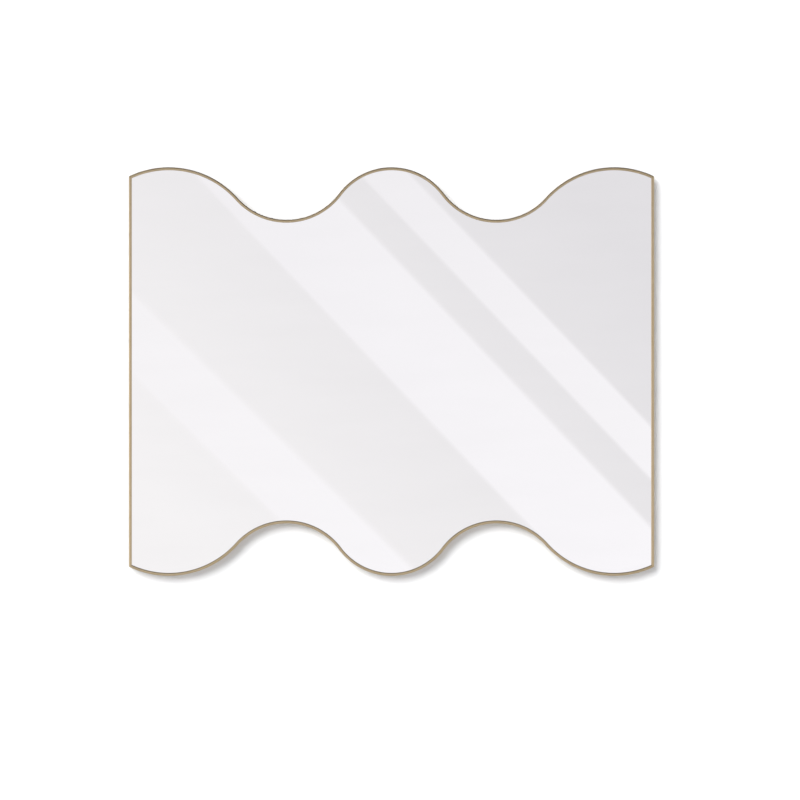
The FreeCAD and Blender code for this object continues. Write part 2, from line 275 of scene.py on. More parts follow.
def rounded_face(bm, corners):
    """Adds one face through corners of (place, rounding), and bevels those that have a rounding."""
    verts = [bm.verts.new(place) for place, _ in corners]
    bm.faces.new(verts)
    for vert, (_, rounding) in zip(verts, corners):
        if rounding:
            bmesh.ops.bevel(
                bm,
                geom=[vert],
                offset=rounding,
                offset_type="OFFSET",
                segments=ROUND_STEPS,
                profile=0.5,
                affect="VERTICES",
                material=-1,
            )
    bm.faces.ensure_lookup_table()
    return bm.faces[0]


def start_section():
    """A bmesh with the section as one face in the plane x = 0, its outer edge at z = 0."""
    bm = bmesh.new()
    around = bm.verts.layers.float.new("around")
    bm.verts.layers.float.new("along")
    corners = [(Vector((0, frame_front + depth, -inset)), rounding) for inset, depth, rounding in SECTION]
    loops = list(rounded_face(bm, corners).loops)
    first = min(range(len(loops)), key=lambda i: (loops[i].vert.co - corners[0][0]).length)
    way = 0.0
    for loop in loops[first:] + loops[:first]:
        loop.vert[around] = way
        way += loop.edge.calc_length()
    return bm


trial = start_section()
print("section:", len(trial.verts), "points,", round(trial.faces[0].calc_area() / MM**2, 1), "mm2")
trial.free()

# %% [markdown]
# A bar bent on rollers is a row of arcs that run into each other, and Blender's spin is just that: it
# carries the section round a centre in small steps and leaves a skin behind. Five spins make a rail, with
# the centres of the lobes below the bar and those of the valleys above it, so the turn changes sign. The
# lobes' radii follow from the rule that neighbouring arcs share a tangent. A curve with the section as its
# bevel could follow the same line, but a mesh can be sawn at its ends.

# %% Arcs of the wave
RUN_ON = 5.0 * MM

outer_x = half_width - CREST_INSET
valley_x = (outer_x - OUTER_STRETCH) / 2
middle_radius = (valley_x**2 + WAVE_DEPTH**2) / (2 * WAVE_DEPTH) - VALLEY_RADIUS
outer_radius = ((outer_x - valley_x) ** 2 + WAVE_DEPTH**2) / (2 * WAVE_DEPTH) - VALLEY_RADIUS
middle_turn = math.asin(valley_x / (middle_radius + VALLEY_RADIUS))
outer_turn = math.asin((outer_x - valley_x) / (outer_radius + VALLEY_RADIUS))
corner_turn = math.asin((half_width - outer_x) / outer_radius)
end_turn = math.asin((half_width + RUN_ON - outer_x) / outer_radius)
corner_z = crest_z - outer_radius * (1 - math.cos(corner_turn))

# Centre (x and z), radius and turn of the five arcs, from left to right
valley_centre_z = crest_z - WAVE_DEPTH + VALLEY_RADIUS
ARCS = [
    (-outer_x, crest_z - outer_radius, outer_radius, end_turn + outer_turn),
    (-valley_x, valley_centre_z, VALLEY_RADIUS, -outer_turn - middle_turn),
    (0.0, crest_z - middle_radius, middle_radius, 2 * middle_turn),
    (valley_x, valley_centre_z, VALLEY_RADIUS, -middle_turn - outer_turn),
    (outer_x, crest_z - outer_radius, outer_radius, outer_turn + end_turn),
]
print("radii in mm:", [round(radius / MM, 1) for _, _, radius, _ in ARCS])

# %% [markdown]
# Each bar runs on past its corner and is then sawn off at the mitre, with a hair's width left between the
# two bars, as on a real frame. A bisecting plane is the saw, and the open end is filled with one face. The
# bends are shaded smooth, but an edge that turns by more than a rounding's small steps stays crisp. The way
# round the section and along the bar was noted on each vertex, and becomes the UV map of the scratches.

# %% Saw, skin and UV map
MITRE_GAP = 0.06 * MM
SAW_TOLERANCE = 0.0001 * MM
SHARP = math.radians(40)


def saw_mitre(bm, side_x, side_z, keep_rail):
    """Cuts a bar at the mitre of one corner, and closes the cut."""
    corner = Vector((side_x * half_width, 0, centre_z + side_z * (corner_z - centre_z)))
    inwards = Vector((-side_x * math.cos(corner_turn), 0, side_z * (math.sin(corner_turn) - 1)))
    inwards.normalize()
    off_rail = Vector((-inwards.z, 0, inwards.x))
    off_rail *= math.copysign(1, -side_z * off_rail.z)
    off_bar = off_rail if keep_rail else -off_rail
    cut = bmesh.ops.bisect_plane(
        bm,
        geom=bm.verts[:] + bm.edges[:] + bm.faces[:],
        dist=SAW_TOLERANCE,
        plane_co=corner - off_bar * MITRE_GAP / 2,
        plane_no=off_bar,
        clear_outer=True,
    )
    sawn = [g for g in cut["geom_cut"] if isinstance(g, BMEdge)]
    bmesh.ops.contextual_create(bm, geom=sawn)


def smooth_skin(bm):
    """Outward faces, smooth bends and crisp corners."""
    bmesh.ops.recalc_face_normals(bm, faces=bm.faces)
    for face in bm.faces:
        face.smooth = True
    for edge in bm.edges:
        edge.smooth = edge.calc_face_angle(math.pi) < SHARP


def finish_bar(bm):
    """A smooth skin with a UV map along the bar."""
    smooth_skin(bm)
    around, along = (bm.verts.layers.float[name] for name in ("around", "along"))
    uv = bm.loops.layers.uv.new("along_the_bar")
    for face in bm.faces:
        for loop in face.loops:
            loop[uv].uv = (loop.vert[along], loop.vert[around])


print(f"mitres leave {MITRE_GAP / MM} mm between bars")

# %% [markdown]
# The rail itself: the section starts at the far left, turned to face along the first arc, and each spin
# starts from the section where the last one ended. The bottom rail is the top one turned over, so its
# faces are recalculated to point outwards.

# %% Rails bent to the wave
SPIN_STEP = math.radians(1.5)


def bend_rail(side_z):
    """The top (1) or bottom (-1) rail."""
    bm = start_section()
    along = bm.verts.layers.float["along"]
    first_x, first_z, _, _ = ARCS[0]
    bmesh.ops.translate(bm, verts=bm.verts, vec=(first_x, 0, crest_z))
    bmesh.ops.rotate(
        bm, verts=bm.verts, cent=(first_x, 0, first_z), matrix=Matrix.Rotation(-end_turn, 3, "Y")
    )
    end = bm.verts[:] + bm.edges[:] + bm.faces[:]
    way = 0.0
    for x, z, radius, turn in ARCS:
        old = set(bm.verts)
        steps = math.ceil(abs(turn) / SPIN_STEP)
        start = next(g for g in end if isinstance(g, BMVert)).co.copy()
        end = bmesh.ops.spin(
            bm, geom=end, cent=(x, 0, z), axis=(0, 1, 0), dvec=(0, 0, 0), angle=turn, steps=steps,
            use_merge=False, use_duplicate=False,
        )["geom_last"]
        first_angle = math.atan2(start.x - x, start.z - z)
        for vert in set(bm.verts) - old:
            angle = math.atan2(vert.co.x - x, vert.co.z - z) - first_angle
            angle = math.remainder(angle, 2 * math.pi)
            vert[along] = way + radius * abs(angle)
        way += radius * abs(turn)
    if side_z < 0:
        bmesh.ops.scale(bm, verts=bm.verts, vec=(1, 1, -1), space=Matrix.Translation((0, 0, -centre_z)))
    for side_x in (1, -1):
        saw_mitre(bm, side_x, side_z, keep_rail=True)
    finish_bar(bm)
    return bm


for side_z, name in ((1, "top"), (-1, "bottom")):
    rail = bend_rail(side_z)
    finish_piece(f"bent_{name}_rail", rail, brushed_gold, "mirror", f"frame_{name}_rail")

# %% [markdown]
# The stiles are straight lengths of the same bar. The section is turned a quarter turn so that its outer
# edge faces the side, extruded upwards past both corners, and sawn at the same mitres. A mirrored copy of
# one stile would do for the other, but a mirrored mesh is inside out, and turning it is just as short.

# %% Straight stiles


def cut_stile(side_x):
    """The right (1) or left (-1) stile."""
    bm = start_section()
    along = bm.verts.layers.float["along"]
    quarter_turn = Matrix.Rotation(side_x * math.pi / 2, 3, "Y")
    bmesh.ops.rotate(bm, verts=bm.verts, cent=(0, 0, 0), matrix=quarter_turn)
    bmesh.ops.translate(bm, verts=bm.verts, vec=(side_x * half_width, 0, cad_low.z))
    grown = bmesh.ops.extrude_face_region(bm, geom=bm.verts[:] + bm.edges[:] + bm.faces[:])
    upper = [g for g in grown["geom"] if isinstance(g, BMVert)]
    bmesh.ops.translate(bm, verts=upper, vec=(0, 0, 2 * half_height))
    for side_z in (1, -1):
        saw_mitre(bm, side_x, side_z, keep_rail=False)
    for vert in bm.verts:
        vert[along] = vert.co.z
    finish_bar(bm)
    return bm


for side_x, name in ((1, "right"), (-1, "left")):
    stile = cut_stile(side_x)
    finish_piece(f"sawn_{name}_stile", stile, brushed_gold, "mirror", f"frame_{name}_stile")

# %% [markdown]
# The glass is 4 mm float glass with silver on its back. What the eye gets is nearly all silver, seen through
# clear glass, with a faint second reflection from the front face. A metal with a clear coat of glass on top
# gives both at once, and stays one opaque piece. Clear glass over a silver sheet could be built as well, but
# the light would have to find its way in and out, which is slow and noisy. A wiped mirror is never quite
# clean, so a little haze spreads the reflection here and there. The back of the pane carries grey paint over
# the silver, and the depth in the pane tells the shader which of the two it is.

# %% Silvered float glass
WIPE_LENGTH = 180 * MM
WIPE_WIDTH = 40 * MM
WIPE_LEAN = math.radians(25)
PAINT_PEEL = 1.2 * MM
PAINT_DEPTH = 0.1 * MM

silvered_glass, tree = start_material("float_glass_polished_and_silvered")
place = add(tree, "ShaderNodeTexCoord").outputs["Object"]
depth = add(tree, "ShaderNodeSeparateXYZ", {"Vector": place})
silver = add(
    tree, "ShaderNodeMath", {0: depth.outputs["Y"], 1: glass_back - PAINT_DEPTH}, operation="LESS_THAN"
)
wipe_place = add(
    tree,
    "ShaderNodeMapping",
    {
        "Vector": place,
        "Rotation": (0, WIPE_LEAN, 0),
        "Scale": (1 / WIPE_LENGTH, 1, 1 / WIPE_WIDTH),
    },
)
wipes = add(tree, "ShaderNodeTexNoise", {"Vector": wipe_place, "Scale": 1.0, "Detail": 4.0})
haze = add(
    tree,
    "ShaderNodeMapRange",
    {"Value": wipes, "From Min": 0.35, "From Max": 0.75, "To Min": 0.008, "To Max": 0.022},
)
silver_tint = add(
    tree, "ShaderNodeMix", {"Factor": wipes, 6: linear("#F7F7F7"), 7: linear("#FBFBFB")}, data_type="RGBA"
)
peel = add(tree, "ShaderNodeTexNoise", {"Vector": place, "Scale": 1 / PAINT_PEEL, "Detail": 2.0})
paint_tint = add(
    tree, "ShaderNodeMix", {"Factor": peel, 6: linear("#6F7376"), 7: linear("#84898C")}, data_type="RGBA"
)
pane_tint = add(tree, "ShaderNodeMix", {"Factor": silver, 6: paint_tint, 7: silver_tint}, data_type="RGBA")
pane_haze = add(tree, "ShaderNodeMix", {"Factor": silver, 2: 0.55, 3: haze}, data_type="FLOAT")
pane = add(
    tree,
    "ShaderNodeBsdfPrincipled",
    {
        "Base Color": pane_tint,
        "Metallic": silver,
        "Roughness": pane_haze,
        "Coat Weight": silver,
        "Coat Roughness": 0.01,
        "Coat IOR": 1.52,
    },
)
end_material(silvered_glass, pane)
finish_nodes(silvered_glass, "mirror_glass")

# %% [markdown]
# The back is a sheet of hardboard: wood fibres cooked, felted and pressed hot into a dense brown board. Its
# smooth face looks out. Close to, it is a felt of short fibres with darker flecks of bark, and over a hand's
# breadth the brown drifts, because the press never heats quite evenly. Three noises of those sizes do it.
# The fibres are really about 0.1 mm thick. They are drawn 1.4 mm wide, so that they show from a step away.

# %% Pressed hardboard
FIBRE = 1.4 * MM
FLECK = 1.6 * MM
DRIFT = 70 * MM

hardboard, tree = start_material("hardboard_hot_pressed")
place = add(tree, "ShaderNodeTexCoord").outputs["Object"]
fibres = add(
    tree, "ShaderNodeTexNoise", {"Vector": place, "Scale": 1 / FIBRE, "Detail": 5.0, "Distortion": 2.5}
)
flecks = add(
    tree, "ShaderNodeTexNoise", {"Vector": place, "Scale": 1 / FLECK, "Detail": 3.0, "Distortion": 2.0}
)
drift = add(tree, "ShaderNodeTexNoise", {"Vector": place, "Scale": 1 / DRIFT, "Detail": 6.0})
strands = add(tree, "ShaderNodeMapRange", {"Value": fibres, **NOISE_MIDDLE})
felt = add(
    tree, "ShaderNodeMix", {"Factor": strands, 6: linear("#60432C"), 7: linear("#9A7652")}, data_type="RGBA"
)
browns = add(tree, "ShaderNodeMix", {"Factor": drift, 6: felt, 7: linear("#684A32")}, data_type="RGBA")
bark = add(tree, "ShaderNodeMapRange", {"Value": flecks, "From Min": 0.6, "From Max": 0.78})
board_colour = add(
    tree, "ShaderNodeMix", {"Factor": bark, 6: browns, 7: linear("#4F3826")}, data_type="RGBA"
)
board_gloss = add(tree, "ShaderNodeMapRange", {"Value": fibres, "To Min": 0.42, "To Max": 0.68})
nap = add(tree, "ShaderNodeBump", {"Height": fibres, "Strength": 0.35, "Distance": 0.08 * MM})
board_shader = add(
    tree,
    "ShaderNodeBsdfPrincipled",
    {
        "Base Color": board_colour,
        "Roughness": board_gloss,
        "IOR": 1.5,
        "Normal": nap,
    },
)
end_material(hardboard, board_shader)
finish_nodes(hardboard, "back_board")

# %% [markdown]
# The two Z bars of the hanger are bought as plain extrusion, in mill finish: bare aluminium as it leaves the
# die, with fine lines drawn along its length by tiny flaws in the die's edge, and a dull bloom of oxide. The
# lines run along X on both bars, so one stretched noise on Object coordinates draws them. They are really a
# few hundredths of a millimetre wide, and are drawn 0.5 mm wide, so that they show.

# %% Mill-finish aluminium
DIE_LINE = 0.5 * MM
DIE_LINE_LENGTH = 400 * MM
BLOOM = 35 * MM

mill_aluminium, tree = start_material("aluminium_extruded_mill_finish")
place = add(tree, "ShaderNodeTexCoord").outputs["Object"]
line_place = add(
    tree, "ShaderNodeMapping", {"Vector": place, "Scale": (1 / DIE_LINE_LENGTH, 1 / DIE_LINE, 1 / DIE_LINE)}
)
die_lines = add(tree, "ShaderNodeTexNoise", {"Vector": line_place, "Scale": 1.0, "Detail": 3.0})
bloom = add(tree, "ShaderNodeTexNoise", {"Vector": place, "Scale": 1 / BLOOM, "Detail": 4.0})
drawn = add(
    tree,
    "ShaderNodeMix",
    {"Factor": die_lines, 6: linear("#A9ACAE"), 7: linear("#D5D7D8")},
    data_type="RGBA",
)
dulled = add(tree, "ShaderNodeMapRange", {"Value": bloom, "To Min": 0.3, "To Max": 0.46})
die_relief = add(tree, "ShaderNodeBump", {"Height": die_lines, "Strength": 0.3, "Distance": 0.03 * MM})
mill_shader = add(
    tree,
    "ShaderNodeBsdfPrincipled",
    {
        "Base Color": drawn,
        "Metallic": 1.0,
        "Roughness": dulled,
        "Normal": die_relief,
    },
)
end_material(mill_aluminium, mill_shader)
finish_nodes(mill_aluminium, "wall_rail", "hanger_bar")

# %% [markdown]
# Steel comes in four finishes here. The corner keys and shims are stamped and zinc plated, the nuts and the
# bar's screws are turned and zinc plated, the set screws are black oxide, and the clips are bright rolled
# spring steel. All four are a metal with a fine mottle in its colour and gloss, so one function makes them
# from two colours, a range of roughness and the size of the mottle. The noise of the mottle also gives the
# surface a tooth, of a certain strength and depth. Plated zinc has a bluish bloom, and black oxide is a thin
# dark skin that still shines on its edges. The mottle is really a tenth or two of a millimetre across, and
# is drawn up to ten times as coarse, so that it shows.

# %% Steel finishes


def mottled(name, dark, light, gloss, mottle, detail=4.0, tooth=(0.2, 0.02 * MM), **sockets):
    """A finish that mottles between two colours and two roughnesses."""
    material, tree = start_material(name)
    place = add(tree, "ShaderNodeTexCoord").outputs["Object"]
    grain = add(tree, "ShaderNodeTexNoise", {"Vector": place, "Scale": 1 / mottle, "Detail": detail})
    colour = add(
        tree, "ShaderNodeMix", {"Factor": grain, 6: linear(dark), 7: linear(light)}, data_type="RGBA"
    )
    rough = add(tree, "ShaderNodeMapRange", {"Value": grain, "To Min": gloss[0], "To Max": gloss[1]})
    relief = add(tree, "ShaderNodeBump", {"Height": grain, "Strength": tooth[0], "Distance": tooth[1]})
    shader = add(
        tree,
        "ShaderNodeBsdfPrincipled",
        {
            "Base Color": colour,
            "Roughness": rough,
            "Normal": relief,
            **sockets,
        },
    )
    end_material(material, shader)
    return material


# Name, two colours, range of roughness and size of the mottle
STEELS = [
    ("steel_stamped_zinc_plated", "#9CA3A9", "#C6CBCF", (0.3, 0.45), 1.5 * MM),
    ("steel_turned_zinc_plated", "#A7AEB4", "#CDD2D6", (0.22, 0.36), 0.8 * MM),
    ("steel_black_oxide", "#1C1C1F", "#3A3A3D", (0.32, 0.5), 0.6 * MM),
    ("spring_steel_bright_rolled", "#8C9096", "#B7BBC0", (0.25, 0.38), 1.0 * MM),
]
stamped_zinc, turned_zinc, black_oxide, rolled_spring = [mottled(*steel, Metallic=1.0) for steel in STEELS]
corners = [f"{row}_{side}" for row in ("top", "bottom") for side in ("left", "right")]
finish_nodes(stamped_zinc, *[f"corner_{kind}_{corner}" for kind in ("key", "shim") for corner in corners])
finish_nodes(turned_zinc, "channel_nut_right", "channel_nut_left")
finish_nodes(rolled_spring, "spring_clips")

# %% [markdown]
# The bumpers and the blocks under the pane are moulded rubber: nearly black, dull, and with the fine spark
# texture of the mould on its skin, so it has no clear highlight. The same function serves, because here too
# the tint, the dullness and the relief come from one thing, the pits. It gets a deeper tooth and no metal.
# The pits are really under 0.1 mm across, and are drawn 0.35 mm across, so that they show.

# %% Moulded rubber
SPARK = 0.35 * MM
SPARK_TOOTH = (0.3, 0.05 * MM)

moulded_rubber = mottled(
    "rubber_moulded_black", "#161617", "#2B2B2D", (0.6, 0.85), SPARK, 3.0, SPARK_TOOTH, IOR=1.52
)
finish_nodes(moulded_rubber, "setting_block_right", "setting_block_left")

# %% [markdown]
# Between the lip and the glass lies a strip of black foam. It is cut from a block, so its skin is a field of
# opened cells that swallow the light. Voronoi cells are that field, with their middles as the pits, and the
# colour is painted darker towards each middle, as painted shade in the pits. A noise would give lumps
# without walls. The cells are really about 0.2 mm across, and are drawn 0.5 mm across.

# %% Closed-cell foam
FOAM_CELL = 0.5 * MM

cell_foam, tree = start_material("foam_closed_cell_black")
place = add(tree, "ShaderNodeTexCoord").outputs["Object"]
cells = add(tree, "ShaderNodeTexVoronoi", {"Vector": place, "Scale": 1 / FOAM_CELL})
# The cells' middles get the darker colour: painted shade in the pits.
foam_colour_with_pit_shade = add(
    tree, "ShaderNodeMix", {"Factor": cells, 6: linear("#0E0E0F"), 7: linear("#242425")}, data_type="RGBA"
)
cell_relief = add(tree, "ShaderNodeBump", {"Height": cells, "Strength": 0.5, "Distance": 0.1 * MM})
foam_shader = add(
    tree, "ShaderNodeBsdfPrincipled", {"Base Color": foam_colour_with_pit_shade, "Roughness": 0.95, "Normal": cell_relief}
)
end_material(cell_foam, foam_shader)
finish_nodes(cell_foam, "lip_gasket")

# %% [markdown]
# A white film on the back of the glass holds the pieces together if the pane breaks. It is polyethylene on a
# mesh of threads, which shows as a fine check of raised lines. Two crossed waves at the threads' pitch,
# multiplied, give that check. The wave runs through 20 radians to the unit, which its scale allows for.

# %% Woven safety film
THREAD = 1.6 * MM
WAVE_RADIANS = 20

woven_film, tree = start_material("polyethylene_film_woven_white")
place = add(tree, "ShaderNodeTexCoord").outputs["Object"]
warp, weft = (
    add(
        tree,
        "ShaderNodeTexWave",
        {"Vector": place, "Scale": 2 * math.pi / (WAVE_RADIANS * THREAD)},
        bands_direction=axis,
    )
    for axis in ("X", "Z")
)
weave = add(tree, "ShaderNodeMath", {0: warp.outputs["Fac"], 1: weft.outputs["Fac"]}, operation="MULTIPLY")
film_colour = add(
    tree, "ShaderNodeMix", {"Factor": weave, 6: linear("#D4D7DA"), 7: linear("#EEF0F1")}, data_type="RGBA"
)
weave_relief = add(tree, "ShaderNodeBump", {"Height": weave, "Strength": 0.4, "Distance": 0.1 * MM})
film_shader = add(
    tree,
    "ShaderNodeBsdfPrincipled",
    {
        "Base Color": film_colour,
        "Roughness": 0.4,
        "IOR": 1.51,
        "Normal": weave_relief,
    },
)
end_material(woven_film, film_shader)
finish_nodes(woven_film, "safety_film")

# %% [markdown]
# Two push-in bumpers keep the foot of the mirror as far off the wall as the hanger keeps its head. Each is
# one moulding: a button with a soft rim, a neck as wide as the frame's slot, and a barb that holds it in. It
# is a turned shape, so half of its section is drawn with rounded corners and spun once round. A stack of
# cylinders and cones would hide faces inside it.

# %% Push-in bumpers
BUMPER_RADIUS = 6.0 * MM
BUMPER_FACE_RADIUS = 3.6 * MM
BUMPER_ROUND = 0.8 * MM
BARB_RADIUS = 3.9 * MM
BARB_TIP_RADIUS = 2.2 * MM
NECK_GAP = 0.2 * MM
MOULD_ROUND = 0.25 * MM
RIM_SHARE = 1 / 3
TURN_STEPS = 48
MERGE = 1e-6

hook_y = frame_front + hook_front


def turn_bumper(node):
    """A bumper in the place of a packed one, its barb forwards and its face on the wall."""
    low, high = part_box(node)
    neck = SLOT_WIDTH / 2 - NECK_GAP
    rim_y = frame_rear + RIM_SHARE * (high.y - frame_rear)
    profile = [
        (0, low.y, 0),
        (BARB_TIP_RADIUS, low.y, MOULD_ROUND),
        (BARB_RADIUS, hook_y, MOULD_ROUND),
        (neck, hook_y, 0),
        (neck, frame_rear, 0),
        (BUMPER_RADIUS, frame_rear, MOULD_ROUND),
        (BUMPER_RADIUS, rim_y, BUMPER_ROUND),
        (BUMPER_FACE_RADIUS, high.y, BUMPER_ROUND),
        (0, high.y, 0),
    ]
    bm = bmesh.new()
    half = rounded_face(bm, [(Vector((radius, y, 0)), rounding) for radius, y, rounding in profile])
    bmesh.ops.delete(bm, geom=[half], context="FACES_ONLY")
    on_axis = [edge for edge in bm.edges if all(abs(vert.co.x) < MERGE for vert in edge.verts)]
    bmesh.ops.delete(bm, geom=on_axis, context="EDGES")
    bmesh.ops.spin(
        bm, geom=bm.verts[:] + bm.edges[:], cent=(0, 0, 0), axis=(0, 1, 0), dvec=(0, 0, 0),
        angle=2 * math.pi, steps=TURN_STEPS, use_merge=True, use_duplicate=False,
    )
    bmesh.ops.remove_doubles(bm, verts=bm.verts, dist=MERGE)
    bmesh.ops.translate(bm, verts=bm.verts, vec=((low.x + high.x) / 2, 0, (low.z + high.z) / 2))
    smooth_skin(bm)
    return bm


for side in ("right", "left"):
    node = f"wall_bumper_{side}"
    bumper = turn_bumper(node)
    finish_piece(f"push_in_bumper_{side}", bumper, moulded_rubber, "mirror", node)

# %% [markdown]
# All screws here are driven with a hexagonal key. A screw starts as the hexagon at the bottom of its socket,
# whose sides are cut into four, so that it has as many points as the round head and can be bridged to it.
# Extruding edges then carries the skin up the socket, over the top, down the head and along the shank.
# Bevels round the rim of the head and break the edge of the socket, where a real one is worn by the key. A
# hexagon could be cut out of a cylinder with a boolean too, but that leaves long thin faces round its mouth.

# %% Socket screws
HEX_SIDES = 6
SIDE_CUTS = 3
RIM_STEPS = 4
SOCKET_BREAK = 0.12 * MM

head_sides = HEX_SIDES * (SIDE_CUTS + 1)


def lengthen(bm, edges, rise=0.0, spread=1.0):
    """Extrudes a loop of edges along Z, scaled about the axis, and returns the new loop."""
    grown = bmesh.ops.extrude_edge_only(bm, edges=edges)["geom"]
    verts = [g for g in grown if isinstance(g, BMVert)]
    bmesh.ops.scale(bm, verts=verts, vec=(spread, spread, 1))
    bmesh.ops.translate(bm, verts=verts, vec=(0, 0, rise))
    return [g for g in grown if isinstance(g, BMEdge) and all(v in verts for v in g.verts)]


def soften(bm, edges, width, steps):
    """Bevels edges to a round."""
    bmesh.ops.bevel(
        bm,
        geom=edges,
        offset=width,
        offset_type="OFFSET",
        segments=steps,
        profile=0.5,
        affect="EDGES",
        material=-1,
    )


def make_screw(tip_y, top_y, head, head_radius, shank_radius, rim, socket, socket_depth):
    """A screw along Y, its tip forwards, whose socket is measured across its flats."""
    bm = bmesh.new()
    floor = Matrix.Translation((0, 0, top_y - socket_depth))
    corner = socket / 2 / math.cos(math.pi / HEX_SIDES)
    bmesh.ops.create_circle(bm, cap_ends=True, radius=corner, segments=HEX_SIDES, matrix=floor)
    bmesh.ops.subdivide_edges(bm, edges=bm.edges[:], cuts=SIDE_CUTS)
    mouth = lengthen(bm, bm.edges[:], socket_depth)
    disc = bmesh.ops.create_circle(
        bm, radius=head_radius, segments=head_sides, matrix=Matrix.Translation((0, 0, top_y))
    )
    crown = list({edge for vert in disc["verts"] for edge in vert.link_edges})
    bmesh.ops.bridge_loops(bm, edges=mouth + crown)
    shank = crown
    if head:
        shank = lengthen(bm, lengthen(bm, crown, -head), spread=shank_radius / head_radius)
    end = lengthen(bm, shank, tip_y - top_y + head)
    bmesh.ops.edgeloop_fill(bm, edges=end)
    soften(bm, mouth, SOCKET_BREAK, 1)
    soften(bm, [edge for edge in crown if edge.is_valid], rim, RIM_STEPS)
    bmesh.ops.rotate(bm, verts=bm.verts, cent=(0, 0, 0), matrix=Matrix.Rotation(-math.pi / 2, 3, "X"))
    return bm


def copy_to(bm, places):
    """Copies what a bmesh holds to places on the mirror's face, and leaves only the copies."""
    first = bm.verts[:] + bm.edges[:] + bm.faces[:]
    for x, z in places:
        copy = bmesh.ops.duplicate(bm, geom=first)["geom"]
        verts = [g for g in copy if isinstance(g, BMVert)]
        bmesh.ops.translate(bm, verts=verts, vec=(x, 0, z))
    bmesh.ops.delete(bm, geom=[g for g in first if isinstance(g, BMVert)], context="VERTS")
    smooth_skin(bm)


print("screws have", head_sides, "sides")

# %% [markdown]
# Four low-head screws, two to an end, pull the hanger bar against the frame: their places are those of the
# tapped holes in the two channel nuts. Sixteen headless set screws, four to a corner, jam the corner keys in
# their channels. Their places lie along the middle of the channel, at two distances from each corner, down
# the stile and along the bend of the rail.

# %% Bar screws and set screws
NUT_END = 6.0 * MM
BAR_SCREW = {
    "head": 2.0 * MM,
    "head_radius": 3.8 * MM,
    "shank_radius": 1.95 * MM,
    "rim": 0.65 * MM,
    "socket": 2.5 * MM,
    "socket_depth": 1.2 * MM,
}
SET_SCREW = {
    "head": 0.0,
    "head_radius": 1.95 * MM,
    "shank_radius": 1.95 * MM,
    "rim": 0.2 * MM,
    "socket": 2.0 * MM,
    "socket_depth": 1.6 * MM,
}
SET_SCREW_DISTANCES = (9.0 * MM, 20.0 * MM)

channel_middle = SIDE_WALL + CHANNEL_WIDTH / 2
low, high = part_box("hanger_bar_screws")
bar_screws = make_screw(low.y, high.y, **BAR_SCREW)
nuts = [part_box(node) for node in ("channel_nut_right", "channel_nut_left")]
copy_to(
    bar_screws,
    [((a.x + b.x) / 2, z) for a, b in nuts for z in (a.z + NUT_END, b.z - NUT_END)],
)
finish_piece("low_head_screws", bar_screws, turned_zinc, "mirror", "hanger_bar_screws")

lobe_z = crest_z - outer_radius
bend_radius = outer_radius - channel_middle
stile_x = half_width - channel_middle
meet = math.acos((stile_x - outer_x) / bend_radius)
top_right = []
for distance in SET_SCREW_DISTANCES:
    angle = meet + distance / bend_radius
    top_right.append((stile_x, lobe_z + bend_radius * math.sin(meet) - distance))
    top_right.append((outer_x + bend_radius * math.cos(angle), lobe_z + bend_radius * math.sin(angle)))
low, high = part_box("corner_set_screws")
set_screws = make_screw(low.y, high.y, **SET_SCREW)
copy_to(
    set_screws,
    [
        (side_x * x, centre_z + side_z * (z - centre_z))
        for side_x in (1, -1)
        for side_z in (1, -1)
        for x, z in top_right
    ],
)
finish_piece("socket_set_screws", set_screws, black_oxide, "mirror", "corner_set_screws")

# %% [markdown]
# The world is the fill light: even and nearly white at the level of the eye, and darker overhead, where a
# studio has no ceiling lights. Polished edges that face up then turn darker than those that face the room.

# %% World
FILL = 0.95
OVERHEAD = 0.15
# Sines of the heights above the horizon between which it gets darker
DIM_FROM, DIM_TO = 0.05, 0.65
HORIZON = "#F6F9FF"

world = bpy.data.worlds.new("studio_fill")
world.use_nodes = True
tree = world.node_tree
tree.nodes.clear()
towards = add(tree, "ShaderNodeTexCoord")
height = add(tree, "ShaderNodeSeparateXYZ", {"Vector": towards.outputs["Generated"]})
level = add(
    tree,
    "ShaderNodeMapRange",
    {
        "Value": height.outputs["Z"],
        "From Min": DIM_FROM,
        "From Max": DIM_TO,
        "To Min": FILL,
        "To Max": OVERHEAD,
    },
    interpolation_type="SMOOTHSTEP",
)
sky = add(tree, "ShaderNodeBackground", {"Color": linear(HORIZON), "Strength": level})
add(tree, "ShaderNodeOutputWorld", {"Surface": sky})
scene.world = world
scene.view_settings.view_transform = "Standard"
print("fill", FILL, "overhead", OVERHEAD)

# %% [markdown]
# The studio. The mirror hangs on a white wall, which takes its soft shadow. The wall is seen from the room
# only: from behind it lets the eye through, so that the back of the mirror can be looked at, and it doesn't
# hold back the light there.

# %% Wall
FLOOR_BELOW = 1.5
ROOM = 14.0
WALL_GAP = 0.2 * MM
UPRIGHT = (math.radians(90), 0, 0)
LEVEL = (0, 0, 0)

half_room = ROOM / 2


def stage_sheet(name, left, right, bottom, top, location, rotation, material):
    """A flat sheet of the stage, with the reach of its four sides counted from its origin."""
    bm = bmesh.new()
    bmesh.ops.create_grid(bm, x_segments=1, y_segments=1, size=0.5)
    bmesh.ops.scale(bm, verts=bm.verts, vec=(right - left, top - bottom, 1))
    bmesh.ops.translate(bm, verts=bm.verts, vec=((left + right) / 2, (bottom + top) / 2, 0))
    mesh = bpy.data.meshes.new(name)
    bm.to_mesh(mesh)
    bm.free()
    mesh.materials.append(material)
    sheet = bpy.data.objects.new(name, mesh)
    sheet.location = location
    sheet.rotation_euler = rotation
    scene.collection.objects.link(sheet)
    sheet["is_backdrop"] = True
    return sheet


def end_clear(material, shader, share):
    """Ends a material with a shader that lets the eye through where the share is 1."""
    clear = add(material.node_tree, "ShaderNodeBsdfTransparent")
    mix = add(material.node_tree, "ShaderNodeMixShader", {0: share, 1: shader, 2: clear})
    end_material(material, mix)


